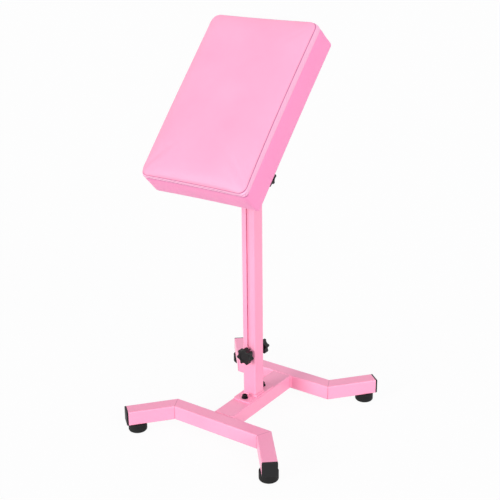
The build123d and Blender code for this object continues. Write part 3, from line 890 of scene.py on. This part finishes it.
def add_back_cloth():
    """The dust cloth, cut out round the mounting plate and a little slack between its staples."""
    bm = bmesh.new()
    bmesh.ops.create_grid(bm, x_segments=44, y_segments=66, size=1)
    for v in bm.verts:
        v.co = on_rest(v.co.x, v.co.y, CLOTH_INSET, CLOTH_LEVEL)
    half_x, half_y = CLOTH_OPENING
    for place, across in (((half_x, 0, 0), (1, 0, 0)), ((-half_x, 0, 0), (1, 0, 0)),
                          ((0, half_y, 0), (0, 1, 0)), ((0, -half_y, 0), (0, 1, 0))):
        geometry = bm.verts[:] + bm.edges[:] + bm.faces[:]
        bmesh.ops.bisect_plane(bm, geom=geometry, dist=0.0001, plane_co=place, plane_no=across)
    middles = {f: f.calc_center_median() for f in bm.faces}
    inside = [f for f, middle in middles.items() if abs(middle.x) < half_x and abs(middle.y) < half_y]
    bmesh.ops.delete(bm, geom=inside, context="FACES")
    for v in bm.verts:
        v.co.z += CLOTH_SLACK * noise.noise(Vector((v.co.x * 0.02, v.co.y * 0.013, 2.2))) - CLOTH_SAG
    cloth = make_piece("dust_cloth", bm, REST_TO_WORLD, "head", "back_cloth")
    body = cloth.modifiers.new("cloth_thickness", "SOLIDIFY")
    body.thickness = CLOTH_THICKNESS * MM
    body.offset = 0
    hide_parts("rest_back_cloth")


def even_shares(count):
    """Places from -1 to 1 along a side, at the middles of that many equal stretches."""
    return [(i + 0.5) / count * 2 - 1 for i in range(count)]


def add_staples():
    """Wire staples along the dust cloth's edge, each flat along its side of the rest."""
    quarter = Matrix.Rotation(pi / 2, 4, "Z")
    along_sides = [(side, share, quarter) for share in even_shares(SIDE_STAPLES) for side in (-1, 1)]
    along_ends = [(share, end, Matrix.Identity(4)) for share in even_shares(END_STAPLES) for end in (-1, 1)]
    bm = bmesh.new()
    for u, v, turn in along_sides + along_ends:
        place = Matrix.Translation(on_rest(u, v, STAPLE_INSET, STAPLE_LEVEL))
        wire = bmesh.ops.create_cube(bm, size=1, matrix=place @ turn @ Matrix.Diagonal((*STAPLE_SIZE, 1)))
        bmesh.ops.bevel(bm, geom=edges_at(wire["verts"]), offset=STAPLE_ROUNDING, affect="EDGES", segments=2,
                        profile=0.5, material=-1)
    make_piece("cloth_staples", bm, REST_TO_WORLD, "head", "zinc_steel", smooth=False)


# Welds

def weld_bead(bm, start, end, size):
    """A rippled bead of weld from start to end, closed and drawn in at both."""
    start, end = Vector(start), Vector(end)
    length = (end - start).length
    along = (end - start).normalized()
    steps = max(4, ceil(length / (size * BEAD_STEP)))
    turn = along.to_track_quat("Z", "Y").to_matrix().to_4x4()
    first = bmesh.ops.create_circle(bm, segments=BEAD_SIDES, radius=1,
                                    matrix=Matrix.Translation(start) @ turn)["verts"]
    ring, edges = first, edges_at(first)
    centre, radius = start, 1.0
    for i in range(steps + 1):
        share = i / steps
        taper = min(1, sqrt(max(BEAD_END, 1 - (2 * share - 1) ** 8)))
        wander = BEAD_WANDER * noise.noise(start * 0.13 + along * share * length * 0.21)
        wanted = size * taper * (1 + (BEAD_RIPPLE if i % 2 else -BEAD_RIPPLE) + wander)
        if i:
            ring, edges = extruded_rim(bm, edges)
            place = start.lerp(end, share)
            bmesh.ops.translate(bm, vec=place - centre, verts=ring)
            centre = place
        bmesh.ops.scale(bm, vec=(wanted / radius,) * 3, space=Matrix.Translation(-centre), verts=ring)
        radius = wanted
    bmesh.ops.contextual_create(bm, geom=first)
    bmesh.ops.contextual_create(bm, geom=ring)


def weld_ring(bm, radius, size, matrix):
    """A ring of overlapping drops of weld round a boss, about the matrix's Z axis."""
    count = ceil(2 * pi * radius / (size * 0.9))
    for i in range(count):
        angle = 2 * pi * i / count
        place = Matrix.Translation((radius * cos(angle), radius * sin(angle), 0)) @ Matrix.Rotation(angle, 4, "Z")
        bmesh.ops.create_uvsphere(bm, u_segments=8, v_segments=6, radius=1,
                                  matrix=matrix @ place @ Matrix.Diagonal((size, size * 0.75, size, 1)))


def make_welds(name, bm, matrix, body):
    """Ends some weld beads as one painted piece."""
    bmesh.ops.recalc_face_normals(bm, faces=bm.faces)
    make_piece(name, bm, matrix, body, "frame_paint")


def mitre_corner(side):
    """Plan of the front right bend's mitre: side 1 is outside the bend and -1 inside it."""
    lean = Vector((-sin(HALF_BEND), -cos(HALF_BEND)))
    return Vector((MITRE_X, -MITRE_Y)) - lean * (TUBE_HALF / cos(HALF_BEND)) * side


def add_base_welds():
    """Beads down the legs' mitres, round the beam's ends and round the column's foot, with one thick drop there."""
    bm = bmesh.new()
    upright = ((mitre_corner(1), 62, 0.7), (mitre_corner(-1), 62, 1.5), (BEAM_CORNER, 63, 3.4))
    for flip_x in (1, -1):
        for flip_y in (1, -1):
            for (x, y), top, size in upright:
                weld_bead(bm, (x * flip_x, y * flip_y, UPRIGHT_BEAD_FOOT), (x * flip_x, y * flip_y, top), size)
    for y in (CROSSBAR_FACE, -CROSSBAR_FACE):
        for level, size in ((65, 0.6), (25, 1.2)):
            weld_bead(bm, (-BEAM_HALF, y, level), (BEAM_HALF, y, level), size)
    corners = [Vector((x * TUBE_HALF, y * TUBE_HALF, COLUMN_FOOT)) for x, y in ((-1, -1), (1, -1), (1, 1), (-1, 1))]
    for start, end in zip(corners, corners[1:] + corners[:1]):
        outwards = ((start + end) / 2).to_2d().to_3d().normalized() * COLUMN_BEAD_OUT
        weld_bead(bm, start + outwards, end + outwards, COLUMN_BEAD)
    drop = bmesh.ops.create_icosphere(bm, subdivisions=3, radius=1,
                                      matrix=Matrix.Translation(DROP_PLACE) @ Matrix.Diagonal((*DROP_SIZE, 1)))
    for v in drop["verts"]:
        v.co += (v.co - DROP_PLACE) * DROP_LUMPS * noise.noise(v.co * 0.35)
    make_welds("base_welds", bm, STAND_TO_WORLD, "base")


def add_post_welds():
    """Beads round the lock's boss and where the pivot tube crosses the post's top."""
    bm = bmesh.new()
    boss = Matrix.Translation((POST_FACE, 0, BOSS_HEIGHT)) @ Matrix.Rotation(pi / 2, 4, "Y")
    weld_ring(bm, BOSS_RADIUS, BOSS_BEAD, boss)
    for side in (-1, 1):
        weld_bead(bm, (side * POST_FACE, -12.6, 801.6), (side * POST_FACE, 12.6, 801.6), 1.9)
        weld_bead(bm, (-13, side * 13.4, 802.4), (13, side * 13.4, 802.4), 2.2)
    make_welds("post_welds", bm, STAND_TO_WORLD, "post")


def add_head_welds():
    """Beads where the two ears meet the mounting plate."""
    bm = bmesh.new()
    for side in (-1, 1):
        for face, size in ((23, 2.2), (27, 2.4)):
            weld_bead(bm, (side * face, -EAR_HALF, PLATE_LEVEL), (side * face, EAR_HALF, PLATE_LEVEL), size)
    make_welds("head_welds", bm, REST_TO_WORLD, "head")


add_camera()
add_floor()
add_world()
add_lamp("key_lamp", towards=(-0.3, -0.92, 0.27), strength=2.05, softness=25, tint=(1, 1, 0.965))
add_lamp("fill_lamp", towards=(0.9, -0.3, 0.35), strength=1.55, softness=40)
bpy.context.scene.view_settings.view_transform = "Standard"

finish_cad_nodes()
add_cover()
add_foam()
add_back_cloth()
add_staples()
add_base_welds()
add_post_welds()
add_head_welds()
